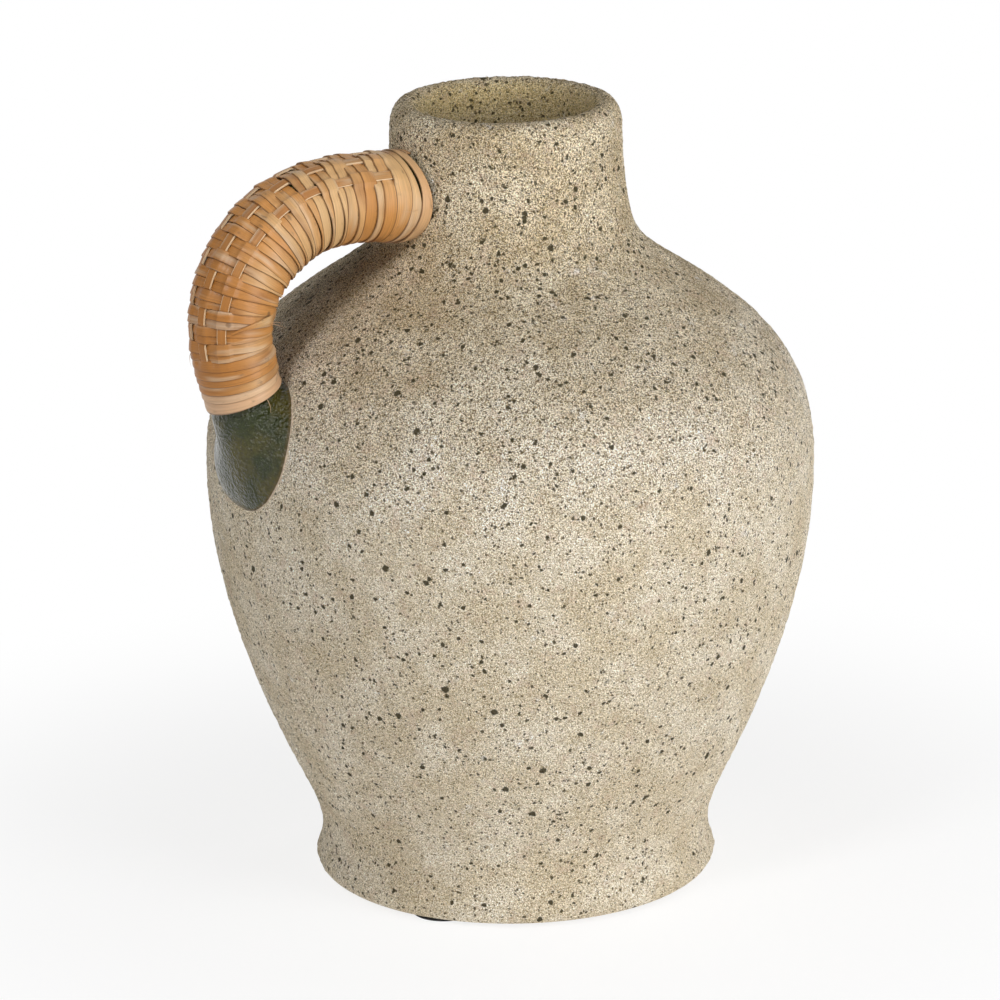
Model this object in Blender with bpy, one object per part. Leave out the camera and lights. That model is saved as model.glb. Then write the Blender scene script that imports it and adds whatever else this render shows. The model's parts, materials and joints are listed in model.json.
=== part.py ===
"""A stoneware vase with one loop handle, its grip wound with rattan over four lengthwise stakes.

The vase stands on the XY plane on three small pads, its turned body centred on the Z axis.
The handle lies in the XZ plane on the -X side: it leaves the neck, bends down and meets the shoulder.
"""
import math

import bmesh
import bpy
import numpy as np
from mathutils import Vector

# Driving dimensions, in metres and degrees.

# Turned body. Each rise is measured from the station below it, the first from the underside.
FOOT_EDGE_INSET = 0.0039
FOOT_RISE = 0.0050
FOOT_RADIUS = 0.0690
WAIST_RISE = 0.0030
WAIST_RADIUS = 0.0678
LOWER_RISE = 0.0306
LOWER_RADIUS = 0.0747
MIDDLE_RISE = 0.0426
MIDDLE_RADIUS = 0.0922
BELLY_RISE = 0.0642
BELLY_RADIUS = 0.1034
SHOULDER_RISE = 0.0431
SHOULDER_RADIUS = 0.0881
COLLAR_RISE = 0.0172
COLLAR_RADIUS = 0.0673
NAPE_RISE = 0.0156
NAPE_RADIUS = 0.0463
THROAT_RISE = 0.0105
THROAT_RADIUS = 0.0416
NECK_RISE = 0.0307
NECK_RADIUS = 0.0389
LIP_CREST = 0.0075
NECK_WALL = 0.0104
BELLY_WALL = 0.0090
FLOOR_THICKNESS = 0.0110
FLOOR_FILLET = 0.0120
RECESS_DEPTH = 0.0007

# Pads under the foot.
PAD_COUNT = 3
PAD_RADIUS = 0.0110
PAD_THICKNESS = 0.0007
PAD_CIRCLE_RADIUS = 0.0550
PAD_FIRST_ANGLE = 212.0

# Handle: a clay loop from the neck to the shoulder, with a spread foot.
HANDLE_DROP = 0.0271
HANDLE_LEAVE_ANGLE = 9.0
HANDLE_LEAVE_PULL = 0.0558
HANDLE_ARRIVE_ANGLE = 72.5
HANDLE_ARRIVE_PULL = 0.0450
HANDLE_END_RISE = 0.0381
HANDLE_STANDOFF = 0.0105
CORE_RADIUS_TOP = 0.0132
CORE_RADIUS_MIDDLE = 0.0124
CORE_RADIUS_END = 0.0107
FOOT_SPREAD_LENGTH = 0.0075
FOOT_HALF_WIDTH = 0.0192
FOOT_HALF_DEPTH = 0.0132
FOOT_LENGTH = 0.0440
FOOT_SIDE_SHIFT = 0.0018
FOOT_ANGLE = 76.5

# Rattan on the grip.
STAKE_COUNT = 4
STAKE_SPACING_ANGLE = 33.0
STAKE_WIDTH = 0.0032
STAKE_THICKNESS = 0.0005
STRIP_WIDTH = 0.00195
STRIP_THICKNESS = 0.0008
STRIP_SPACING = 0.00065
STRIP_LOOPS_MAX = 24

# Clearance between pieces that touch on the real vase.
CLEARANCE = 0.0003

# Resolution.
BODY_SEGMENTS = 60
CORE_SEGMENTS = 24
CORE_STEP = 0.0042
LOOP_POINTS = 24

# Heights of the body's stations above the plane that the pads stand on.
LIFT = PAD_THICKNESS + CLEARANCE
FOOT_Z = LIFT + FOOT_RISE
WAIST_Z = FOOT_Z + WAIST_RISE
LOWER_Z = WAIST_Z + LOWER_RISE
MIDDLE_Z = LOWER_Z + MIDDLE_RISE
BELLY_Z = MIDDLE_Z + BELLY_RISE
SHOULDER_Z = BELLY_Z + SHOULDER_RISE
COLLAR_Z = SHOULDER_Z + COLLAR_RISE
NAPE_Z = COLLAR_Z + NAPE_RISE
THROAT_Z = NAPE_Z + THROAT_RISE
NECK_Z = THROAT_Z + NECK_RISE
TOP_Z = NECK_Z + LIP_CREST

STATIONS = (
    (FOOT_Z, FOOT_RADIUS),
    (WAIST_Z, WAIST_RADIUS),
    (LOWER_Z, LOWER_RADIUS),
    (MIDDLE_Z, MIDDLE_RADIUS),
    (BELLY_Z, BELLY_RADIUS),
    (SHOULDER_Z, SHOULDER_RADIUS),
    (COLLAR_Z, COLLAR_RADIUS),
    (NAPE_Z, NAPE_RADIUS),
    (THROAT_Z, THROAT_RADIUS),
    (NECK_Z, NECK_RADIUS),
)
# Rings between one station and the next, from the foot up.
OUTER_RINGS = (1, 4, 3, 5, 4, 3, 3, 2, 4)
LIP_RINGS = 6
INNER_RINGS = 13


def spline(stations):
    """Natural cubic curve through the stations, as a function giving the value and the slope."""
    x = np.array([s[0] for s in stations])
    y = np.array([s[1] for s in stations])
    n = len(x)
    h = np.diff(x)
    a = np.zeros((n, n))
    b = np.zeros(n)
    a[0, 0] = 1.0
    a[n - 1, n - 1] = 1.0
    for i in range(1, n - 1):
        a[i, i - 1] = h[i - 1]
        a[i, i] = 2.0 * (h[i - 1] + h[i])
        a[i, i + 1] = h[i]
        b[i] = 3.0 * ((y[i + 1] - y[i]) / h[i] - (y[i] - y[i - 1]) / h[i - 1])
    c = np.linalg.solve(a, b)

    def value(t):
        i = int(min(max(np.searchsorted(x, t) - 1, 0), n - 2))
        u = min(max(t, x[0]), x[-1]) - x[i]
        d = (c[i + 1] - c[i]) / (3.0 * h[i])
        m = (y[i + 1] - y[i]) / h[i] - h[i] * (2.0 * c[i] + c[i + 1]) / 3.0
        return y[i] + u * (m + u * (c[i] + u * d)), m + u * (2.0 * c[i] + 3.0 * u * d)

    return value


outer_curve = spline(STATIONS)


def outer_radius(z):
    return outer_curve(z)[0]


def wall_at(z):
    """Wall thickness: the neck's above the throat, the belly's below the shoulder."""
    t = min(max((z - SHOULDER_Z) / (THROAT_Z - SHOULDER_Z), 0.0), 1.0)
    return BELLY_WALL + (NECK_WALL - BELLY_WALL) * t


def inner_radius(z):
    radius, slope = outer_curve(z)
    return radius - wall_at(z) * math.sqrt(1.0 + slope * slope)


def outer_profile(offset=0.0):
    """Points (radius, height) up the outside, from the foot's edge to the top of the neck."""
    heights = [STATIONS[0][0]]
    for (low, _), (high, _), rings in zip(STATIONS, STATIONS[1:], OUTER_RINGS):
        heights.extend(low + (high - low) * (k + 1) / rings for k in range(rings))
    points = []
    for z in heights:
        radius, slope = outer_curve(z)
        length = math.hypot(1.0, slope)
        points.append((radius + offset / length, z - offset * slope / length))
    return points


def body_profile():
    """The body's half section, from the middle of the underside round to the middle of the floor."""
    recess_radius = PAD_CIRCLE_RADIUS - PAD_RADIUS - CLEARANCE
    points = [(0.0, LIFT + RECESS_DEPTH), (recess_radius - RECESS_DEPTH, LIFT + RECESS_DEPTH)]
    points.append((recess_radius, LIFT))
    for k in range(3):
        angle = math.radians(30.0 * k)
        radius = FOOT_RADIUS - FOOT_EDGE_INSET * (1.0 - math.sin(angle))
        points.append((radius, LIFT + FOOT_RISE * (1.0 - math.cos(angle))))
    points.extend(outer_profile())
    middle = NECK_RADIUS - NECK_WALL / 2.0
    for k in range(1, LIP_RINGS):
        angle = math.pi * k / LIP_RINGS
        points.append((middle + NECK_WALL / 2.0 * math.cos(angle), NECK_Z + LIP_CREST * math.sin(angle)))
    floor = LIFT + FLOOR_THICKNESS
    low = floor + FLOOR_FILLET
    for k in range(INNER_RINGS + 1):
        t = k / INNER_RINGS
        z = NECK_Z + (low - NECK_Z) * t
        points.append((inner_radius(z), z))
    corner = inner_radius(low)
    for k in range(1, 4):
        angle = math.radians(30.0 * k)
        z = floor + FLOOR_FILLET * (1.0 - math.sin(angle))
        points.append((corner - FLOOR_FILLET * (1.0 - math.cos(angle)), z))
    points.append((0.0, floor))
    return points


def make_material(name, colour, roughness, metallic=0.0):
    material = bpy.data.materials.new(name)
    material.use_nodes = True
    shader = material.node_tree.nodes["Principled BSDF"]
    shader.inputs["Base Color"].default_value = (*colour, 1.0)
    shader.inputs["Roughness"].default_value = roughness
    shader.inputs["Metallic"].default_value = metallic
    material.diffuse_color = (*colour, 1.0)
    return material


def add_object(name, bm, material, sharp=40.0):
    """Turn the finished bmesh into a named object under the vase's axis."""
    bmesh.ops.recalc_face_normals(bm, faces=bm.faces)
    mesh = bpy.data.meshes.new(name)
    bm.to_mesh(mesh)
    bm.free()
    mesh.shade_smooth()
    mesh.set_sharp_from_angle(angle=math.radians(sharp))
    mesh.materials.append(material)
    obj = bpy.data.objects.new(name, mesh)
    bpy.context.scene.collection.objects.link(obj)
    obj.parent = vase_axis
    return obj


def turned(points):
    """Spin a half section, given as (radius, height), once round the Z axis."""
    bm = bmesh.new()
    verts = [bm.verts.new((radius, 0.0, z)) for radius, z in points]
    edges = [bm.edges.new(pair) for pair in zip(verts, verts[1:])]
    bmesh.ops.spin(
        bm,
        geom=verts + edges,
        axis=(0.0, 0.0, 1.0),
        cent=(0.0, 0.0, 0.0),
        angle=2.0 * math.pi,
        steps=BODY_SEGMENTS,
        use_merge=True,
    )
    bmesh.ops.remove_doubles(bm, verts=bm.verts, dist=0.000001)
    return bm


def swept(rings):
    """Extrude a first ring of points through all the rings, closed at both ends."""
    bm = bmesh.new()
    face = bm.faces.new([bm.verts.new(point) for point in rings[0]])
    for number, (before, after) in enumerate(zip(rings, rings[1:])):
        grown = bmesh.ops.extrude_face_region(bm, geom=[face])["geom"]
        if number:
            bm.faces.remove(face)
        face = next(item for item in grown if isinstance(item, bmesh.types.BMFace))
        for vert in face.verts:
            nearest = min(range(len(before)), key=lambda i: (vert.co - before[i]).length_squared)
            vert.index = nearest
        for vert in face.verts:
            vert.co = after[vert.index]
    return bm


# The handle's centre line, as distance from the body's axis and height.
HANDLE_TOP_Z = TOP_Z - HANDLE_DROP
HANDLE_END_Z = BELLY_Z + HANDLE_END_RISE
LEAVE = math.radians(HANDLE_LEAVE_ANGLE)
ARRIVE = math.radians(HANDLE_ARRIVE_ANGLE)
BEND = (
    np.array((outer_radius(HANDLE_TOP_Z), HANDLE_TOP_Z)),
    np.array((outer_radius(HANDLE_TOP_Z), HANDLE_TOP_Z))
    + HANDLE_LEAVE_PULL * np.array((math.cos(LEAVE), math.sin(LEAVE))),
    np.array((outer_radius(HANDLE_END_Z) + HANDLE_STANDOFF, HANDLE_END_Z))
    + HANDLE_ARRIVE_PULL * np.array((math.cos(ARRIVE), math.sin(ARRIVE))),
    np.array((outer_radius(HANDLE_END_Z) + HANDLE_STANDOFF, HANDLE_END_Z)),
)


def bend_point(t):
    u = 1.0 - t
    return u**3 * BEND[0] + 3.0 * u * u * t * BEND[1] + 3.0 * u * t * t * BEND[2] + t**3 * BEND[3]


BEND_SAMPLES = np.array([bend_point(t) for t in np.linspace(0.0, 1.0, 401)])
BEND_LENGTHS = np.concatenate(
    ((0.0,), np.cumsum(np.hypot(*np.diff(BEND_SAMPLES, axis=0).T)))
)
GRIP_LENGTH = float(BEND_LENGTHS[-1])


def centre_line(s):
    """Place and direction on the centre line, s from the neck, straight beyond both ends."""
    start = np.array((math.cos(LEAVE), math.sin(LEAVE)))
    if s <= 0.0:
        return BEND[0] + s * start, start
    if s >= GRIP_LENGTH:
        foot = math.radians(FOOT_ANGLE)
        blend = min((s - GRIP_LENGTH) / CORE_RADIUS_END, 1.0)
        angle = ARRIVE + (foot - ARRIVE) * blend
        end = np.array((-math.cos(foot), -math.sin(foot)))
        return BEND[3] + (s - GRIP_LENGTH) * end, np.array((-math.cos(angle), -math.sin(angle)))
    place = np.array([np.interp(s, BEND_LENGTHS, BEND_SAMPLES[:, k]) for k in range(2)])
    step = 0.0005
    ahead = np.array([np.interp(s + step, BEND_LENGTHS, BEND_SAMPLES[:, k]) for k in range(2)])
    behind = np.array([np.interp(s - step, BEND_LENGTHS, BEND_SAMPLES[:, k]) for k in range(2)])
    direction = ahead - behind
    return place, direction / np.hypot(*direction)


def around(s, angle, out, across=None):
    """A point off the centre line: angle 0 is the loop's outer side, out its distance."""
    place, direction = centre_line(s)
    normal = np.array((-direction[1], direction[0]))
    if across is None:
        across = out
    plane = place + out * math.cos(angle) * normal
    return Vector((-plane[0], across * math.sin(angle), plane[1]))


def core_radius(s):
    """Radius of the clay core on the grip, a parabola through its three sizes."""
    t = min(max(s / GRIP_LENGTH, 0.0), 1.0)
    sag = 2.0 * (CORE_RADIUS_TOP + CORE_RADIUS_END) - 4.0 * CORE_RADIUS_MIDDLE
    slope = CORE_RADIUS_END - CORE_RADIUS_TOP - sag
    return CORE_RADIUS_TOP + t * (slope + t * sag)


def smooth_step(t):
    t = min(max(t, 0.0), 1.0)
    return t * t * (3.0 - 2.0 * t)


def core_rings():
    """Cross sections of the clay core from inside the neck to inside the shoulder."""
    first = -CORE_RADIUS_TOP
    count = int(math.ceil((GRIP_LENGTH - first) / CORE_STEP))
    places = [first + (GRIP_LENGTH - first) * k / count for k in range(count + 1)]
    rings = []
    for s in places:
        rings.append((s, core_radius(s), core_radius(s), 0.0))
    for k in range(1, 4):
        t = k / 3.0
        rise = smooth_step(t)
        depth = CORE_RADIUS_END + (FOOT_HALF_DEPTH - CORE_RADIUS_END) * rise
        width = CORE_RADIUS_END + (FOOT_HALF_WIDTH - CORE_RADIUS_END) * rise
        run = CLEARANCE + FOOT_SPREAD_LENGTH * t
        rings.append((GRIP_LENGTH + run, depth, width, FOOT_SIDE_SHIFT * rise))
    for k in range(1, 8):
        t = math.sin(math.radians(11.5 * k))
        round_off = math.sqrt(1.0 - t**3)
        run = CLEARANCE + FOOT_SPREAD_LENGTH + (FOOT_LENGTH - FOOT_SPREAD_LENGTH) * t
        depth = FOOT_HALF_DEPTH * round_off
        rings.append((GRIP_LENGTH + run, depth, FOOT_HALF_WIDTH * round_off, FOOT_SIDE_SHIFT))
    turns = [2.0 * math.pi * k / CORE_SEGMENTS for k in range(CORE_SEGMENTS)]
    found = []
    for s, depth, width, shift in rings:
        found.append([around(s, a, depth, width) - Vector((0.0, shift, 0.0)) for a in turns])
    return found


# Rattan: the stakes lie on the core, the binding lies on the stakes and is drawn down beside them.
CHORD = math.cos(math.pi / LOOP_POINTS)
STAKE_HALF_SPREAD = math.radians(STAKE_SPACING_ANGLE) * (STAKE_COUNT - 1) / 2.0


def stake_seat(s):
    return core_radius(s) + CLEARANCE


def binding_seat(s, angle):
    """Distance of the binding's inner face from the centre line."""
    top = math.hypot(stake_seat(s) + STAKE_THICKNESS, STAKE_WIDTH / 2.0)
    raised = (top + CLEARANCE) / CHORD
    bare = (core_radius(s) + CLEARANCE) / CHORD
    angle = abs((angle + math.pi) % (2.0 * math.pi) - math.pi)
    edge = STAKE_HALF_SPREAD + STAKE_WIDTH / core_radius(s)
    return bare + (raised - bare) * (1.0 - smooth_step((angle - edge) / math.radians(40.0)))


def binding_start(angle):
    """Where on the centre line the binding's edge clears the neck, on this side of the grip."""
    s = -CORE_RADIUS_TOP
    while s < GRIP_LENGTH:
        point = around(s, angle, binding_seat(s, angle) + STRIP_THICKNESS)
        inner = around(s, angle, binding_seat(s, angle))
        if min(clear_of_body(point), clear_of_body(inner)) > 2.0 * CLEARANCE:
            return s
        s += CLEARANCE
    return s


def clear_of_body(point):
    return math.hypot(point.x, point.y) - outer_radius(point.z)


def binding_end(angle):
    """Where on the centre line the binding's edge clears the shoulder, on this side of the grip."""
    s = GRIP_LENGTH
    while s > 0.0:
        point = around(s, angle, binding_seat(s, angle) + STRIP_THICKNESS)
        if clear_of_body(point) > 2.0 * CLEARANCE:
            return s
        s -= CLEARANCE
    return s


LOOP_ANGLES = [2.0 * math.pi * k / LOOP_POINTS for k in range(LOOP_POINTS)]
LOOP_STARTS = [binding_start(a) for a in LOOP_ANGLES]
LOOP_ENDS = [binding_end(a) for a in LOOP_ANGLES]
PITCH_WANTED = STRIP_WIDTH + STRIP_SPACING
SHORTEST = min(end - start for start, end in zip(LOOP_STARTS, LOOP_ENDS))
LOOPS = 2 * min(int((SHORTEST - STRIP_WIDTH) / PITCH_WANTED / 2.0), STRIP_LOOPS_MAX)


def binding_place(turn, side):
    """Place on the centre line of the strip's middle or edge after so many turns."""
    k = int(round(turn * LOOP_POINTS)) % LOOP_POINTS
    start = LOOP_STARTS[k] + STRIP_WIDTH / 2.0
    end = LOOP_ENDS[k] - STRIP_WIDTH / 2.0
    return start + (end - start) * turn / LOOPS + side * STRIP_WIDTH / 2.0


def strip_rings(first, last):
    """Flat sections of the wound strip between two counts of loop points."""
    rings = []
    for k in range(first, last + 1):
        turn = k / LOOP_POINTS
        angle = LOOP_ANGLES[k % LOOP_POINTS]
        ring = []
        for side, layer in ((-1.0, 0.0), (1.0, 0.0), (1.0, 1.0), (-1.0, 1.0)):
            s = binding_place(turn, side)
            ring.append(around(s, angle, binding_seat(s, angle) + layer * STRIP_THICKNESS))
        rings.append(ring)
    return rings


def least_gap(rings):
    """Least distance between the facing edges of two neighbouring loops, on points."""
    best = 1.0
    for k in range(len(rings) - LOOP_POINTS):
        here = rings[k]
        there = rings[k + LOOP_POINTS]
        for a, b in ((1, 0), (2, 3)):
            best = min(best, (there[b] - here[a]).length)
    return best


def stake_rings(number):
    """Flat sections of one lengthwise stake, laid on the core."""
    middle = math.radians(STAKE_SPACING_ANGLE) * (number - (STAKE_COUNT - 1) / 2.0)
    first = binding_start(middle) + CLEARANCE
    last = min(LOOP_ENDS) - CLEARANCE
    count = int(math.ceil((last - first) / CORE_STEP))
    rings = []
    for k in range(count + 1):
        s = first + (last - first) * k / count
        ring = []
        for side, layer in ((-1.0, 0.0), (1.0, 0.0), (1.0, 1.0), (-1.0, 1.0)):
            out = stake_seat(s) + layer * STAKE_THICKNESS
            lean = math.atan2(side * STAKE_WIDTH / 2.0, out)
            ring.append(around(s, middle + lean, math.hypot(out, STAKE_WIDTH / 2.0)))
        rings.append(ring)
    return rings


for old in list(bpy.data.objects):
    bpy.data.objects.remove(old, do_unlink=True)

vase_axis = bpy.data.objects.new("vase_axis", None)
bpy.context.scene.collection.objects.link(vase_axis)

stoneware = make_material("speckled_stoneware", (0.42, 0.36, 0.27), 0.85)
glaze = make_material("dark_green_glaze", (0.030, 0.038, 0.020), 0.12)
rattan = make_material("rattan_strip", (0.56, 0.33, 0.15), 0.55)
rattan_light = make_material("rattan_stake", (0.64, 0.42, 0.22), 0.55)
pad_black = make_material("black_pad", (0.012, 0.012, 0.013), 0.80)

add_object("vase_body", turned(body_profile()), stoneware)

# The core runs on into the neck and the shoulder, and the body's own outline trims it there.
trim_profile = outer_profile(CLEARANCE)
trim_profile = [(0.0, trim_profile[0][1])] + trim_profile + [(0.0, trim_profile[-1][1])]
core = add_object("handle_core", swept(core_rings()), glaze)
trim = add_object("body_outline_trim", turned(trim_profile), glaze)
trim.hide_render = True
trim.display_type = "WIRE"
cut = core.modifiers.new("cut_to_body", "BOOLEAN")
cut.operation = "DIFFERENCE"
cut.solver = "EXACT"
cut.object = trim

for number in range(STAKE_COUNT):
    add_object("rattan_stake_%d" % (number + 1), swept(stake_rings(number)), rattan_light, 20.0)

# Two lengths of strip, end to end: the upper one starts where the lower one stops.
half = LOOPS // 2 * LOOP_POINTS
upper_rings = strip_rings(0, half)
lower_rings = strip_rings(half + 1, LOOPS * LOOP_POINTS)
add_object("rattan_binding_upper", swept(upper_rings), rattan, 20.0)
add_object("rattan_binding_lower", swept(lower_rings), rattan, 20.0)
print("loops in each length of strip:", LOOPS // 2)
print("least gap of the upper strip to itself, mm:", round(1000.0 * least_gap(upper_rings), 3))
print("least gap of the lower strip to itself, mm:", round(1000.0 * least_gap(lower_rings), 3))

for number in range(PAD_COUNT):
    bm = bmesh.new()
    bmesh.ops.create_cone(
        bm,
        cap_ends=True,
        segments=32,
        radius1=PAD_RADIUS,
        radius2=PAD_RADIUS,
        depth=PAD_THICKNESS,
    )
    pad = add_object("foot_pad_%d" % (number + 1), bm, pad_black)
    angle = math.radians(PAD_FIRST_ANGLE + 360.0 * number / PAD_COUNT)
    pad.location = (
        PAD_CIRCLE_RADIUS * math.cos(angle),
        PAD_CIRCLE_RADIUS * math.sin(angle),
        PAD_THICKNESS / 2.0,
    )
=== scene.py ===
# %% [markdown]
# # A stoneware vase with a rattan-wound handle
#
# The vase is one turned, hollow body in sandy, speckled stoneware. A clay loop joins the neck to the
# shoulder. Its spread foot is dipped in a dark green glaze, and the rest of the loop is wound with flat
# strips of rattan, woven over and under four lengthwise stakes. Three black pads sit under the foot.
#
# The measured model is loaded first. It gives the place of everything, and stays hidden wherever a
# finer piece stands for it. All lengths are in metres, and Z points up.

# %% Load the measured model
import json
import math
import random

import bmesh
import bpy
import numpy as np
from mathutils import Matrix, Vector, noise

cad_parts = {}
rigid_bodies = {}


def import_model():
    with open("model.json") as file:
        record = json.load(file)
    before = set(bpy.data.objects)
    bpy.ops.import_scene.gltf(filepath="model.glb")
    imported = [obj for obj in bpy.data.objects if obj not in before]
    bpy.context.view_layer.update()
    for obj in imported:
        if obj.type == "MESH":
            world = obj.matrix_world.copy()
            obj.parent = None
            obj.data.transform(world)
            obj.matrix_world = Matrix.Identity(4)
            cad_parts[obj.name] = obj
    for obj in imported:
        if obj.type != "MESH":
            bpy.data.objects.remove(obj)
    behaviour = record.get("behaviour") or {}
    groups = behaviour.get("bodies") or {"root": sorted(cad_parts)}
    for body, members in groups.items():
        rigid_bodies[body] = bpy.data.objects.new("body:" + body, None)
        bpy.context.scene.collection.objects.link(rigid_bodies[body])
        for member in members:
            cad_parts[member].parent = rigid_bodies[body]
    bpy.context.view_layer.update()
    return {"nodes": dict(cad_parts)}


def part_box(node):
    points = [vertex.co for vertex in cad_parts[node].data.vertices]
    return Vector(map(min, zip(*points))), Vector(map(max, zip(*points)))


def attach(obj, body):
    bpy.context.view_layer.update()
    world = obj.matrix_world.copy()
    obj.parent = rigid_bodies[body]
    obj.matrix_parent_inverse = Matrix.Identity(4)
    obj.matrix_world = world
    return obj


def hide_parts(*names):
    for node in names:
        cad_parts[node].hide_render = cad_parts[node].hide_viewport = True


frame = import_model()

print("nodes:", ", ".join(sorted(frame["nodes"])))

# %% [markdown]
# ## The camera
#
# The photograph was taken from about two metres away with a long lens, looking down by 17 degrees. A
# camera set by eye would tilt the foot against the mouth, so its place, its lens and its turns were
# fitted to the vase's outline. The turns are applied in order: heading, downward tilt and a slight roll.

# %% Camera
CAMERA_PLACE = Vector((-1.010612, -1.651153, 0.734066))
CAMERA_HEADING = 31.35933
CAMERA_DOWN = 17.3151
CAMERA_ROLL = -0.83982
CAMERA_LENS = 213.5023

camera_data = bpy.data.cameras.new("photo_camera")
camera_data.lens = CAMERA_LENS
camera_data.sensor_width = 36.0
camera = bpy.data.objects.new("photo_camera", camera_data)
bpy.context.scene.collection.objects.link(camera)
camera.matrix_world = (
    Matrix.Translation(CAMERA_PLACE)
    @ Matrix.Rotation(math.radians(-CAMERA_HEADING), 4, "Z")
    @ Matrix.Rotation(math.radians(90.0 - CAMERA_DOWN), 4, "X")
    @ Matrix.Rotation(math.radians(CAMERA_ROLL), 4, "Z")
)
bpy.context.scene.camera = camera
print("camera at", [round(c, 3) for c in CAMERA_PLACE])

# %% [markdown]
# ## Recipes for materials
#
# A procedural material is a sum worked out at each point of a surface. In the editor it is drawn as
# boxes and wires, and in code it is easier to read as sums. `Wire` holds one output of a node, and
# adding or multiplying wires adds the Math nodes.

# %% Wires
class Wire:
    """One output of a node. A sum written on it becomes Math nodes."""

    def __init__(self, recipe, socket):
        self.recipe = recipe
        self.socket = socket

    def math(self, operation, first, second):
        return self.recipe.node("ShaderNodeMath", {"operation": operation}, {0: first, 1: second})

    def __add__(self, other):
        return self.math("ADD", self, other)

    def __radd__(self, other):
        return self.math("ADD", other, self)

    def __sub__(self, other):
        return self.math("SUBTRACT", self, other)

    def __rsub__(self, other):
        return self.math("SUBTRACT", other, self)

    def __mul__(self, other):
        return self.math("MULTIPLY", self, other)

    def __rmul__(self, other):
        return self.math("MULTIPLY", other, self)

    def __truediv__(self, other):
        return self.math("DIVIDE", self, other)

    def __pow__(self, other):
        return self.math("POWER", self, other)

    def least(self, other):
        return self.math("MINIMUM", self, other)

    def most(self, other):
        return self.math("MAXIMUM", self, other)

    def size(self):
        return self.math("ABSOLUTE", self, 0.0)

    def step(self, low, high):
        """0 below low, 1 above high and a smooth rise between them."""
        settings = {"interpolation_type": "SMOOTHSTEP"}
        return self.recipe.node("ShaderNodeMapRange", settings, {0: self, 1: low, 2: high, 3: 0.0, 4: 1.0})


print("wires ready")

# %% [markdown]
# A recipe fills a tree of nodes. Its `node` makes any node from a type, its settings and the values or
# wires of its sockets. Vectors have a method of their own, because a Math node takes only plain
# numbers. `seen` tells the camera and reflections from other light, which the studio needs later.

# %% Recipes
class Recipe:
    """The nodes of a material or of the world."""

    def __init__(self, owner):
        owner.use_nodes = True
        self.tree = owner.node_tree
        self.wired = 0

    def node(self, kind, settings=None, values=None, output=0):
        made = self.tree.nodes.new(kind)
        made.location = (-200.0 * (self.wired % 12) - 300.0, -220.0 * (self.wired // 12))
        self.wired += 1
        for key, value in (settings or {}).items():
            setattr(made, key, value)
        for key, value in (values or {}).items():
            self.feed(made.inputs[key], value)
        return Wire(self, made.outputs[output])

    def feed(self, socket, value):
        if isinstance(value, Wire):
            self.tree.links.new(value.socket, socket)
        elif isinstance(value, tuple) and len(value) == 3 and socket.type == "RGBA":
            socket.default_value = (*value, 1.0)
        else:
            socket.default_value = value

    def vectors(self, operation, first, second=(0.0, 0.0, 0.0), output=0):
        return self.node("ShaderNodeVectorMath", {"operation": operation}, {0: first, 1: second}, output)

    def stretched(self, vector, scale, offset=(0.0, 0.0, 0.0)):
        return self.vectors("ADD", self.vectors("MULTIPLY", vector, scale), offset)

    def seen(self):
        """1 for the camera and in reflections, 0 for other light."""
        outputs = self.node("ShaderNodeLightPath").socket.node.outputs
        kinds = ("Camera", "Glossy", "Transmission")
        camera, glossy, through = (Wire(self, outputs["Is %s Ray" % kind]) for kind in kinds)
        return camera.most(glossy).most(through)


print("recipes ready")

# %% [markdown]
# A finish is the recipe of a new material and starts from its Principled shader. Colours have methods
# of their own, because a Math node would turn them grey.

# %% Finishes
class Finish(Recipe):
    """A material with one Principled shader."""

    def __init__(self, name):
        self.material = bpy.data.materials.new(name)
        super().__init__(self.material)
        self.shader = self.tree.nodes["Principled BSDF"]

    def set(self, **values):
        """Feed sockets of the shader, named with underscores for spaces."""
        for name, value in values.items():
            self.feed(self.shader.inputs[name.replace("_", " ")], value)

    def colours(self, factor, first, second):
        settings = {"data_type": "RGBA"}
        return self.node("ShaderNodeMix", settings, {0: factor, 6: first, 7: second}, 2)

    def tinted(self, colour, wire, green=1.0, blue=1.0):
        """A colour made lighter or darker by a number. Green and blue can follow it more strongly."""
        grey = self.node(
            "ShaderNodeCombineColor", None,
            {0: wire, 1: wire if green == 1.0 else wire ** green, 2: wire if blue == 1.0 else wire ** blue},
        )
        settings = {"data_type": "RGBA", "blend_type": "MULTIPLY"}
        return self.node("ShaderNodeMix", settings, {0: 1.0, 6: colour, 7: grey}, 2)

    def place(self):
        return self.node("ShaderNodeTexCoord", None, None, "Object")

    def cloud(self, vector, scale, detail=2.0, roughness=0.5, output="Fac"):
        values = {"Vector": vector, "Scale": scale, "Detail": detail, "Roughness": roughness}
        return self.node("ShaderNodeTexNoise", None, values, output)

    def cells(self, vector, scale, output="Distance"):
        return self.node("ShaderNodeTexVoronoi", None, {"Vector": vector, "Scale": scale}, output)

    def parts(self, vector):
        """The three numbers of a vector or colour."""
        split = self.node("ShaderNodeSeparateXYZ", None, {0: vector})
        return [Wire(self, output) for output in split.socket.node.outputs]

    def bump(self, height, distance, strength=1.0):
        values = {"Height": height, "Distance": distance, "Strength": strength}
        self.set(Normal=self.node("ShaderNodeBump", None, values))


print("finishes ready")

# %% [markdown]
# ## The body's outline
#
# A thrown pot is a half section spun once round its axis. The outline is a smooth curve through ten
# stations, each a height and a radius, measured on the photograph. A curve object could be drawn by
# eye, but a natural cubic curve is the one that a thin springy batten takes when it is pinned at the
# stations, so it goes through every measurement and has no flat spots.

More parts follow.
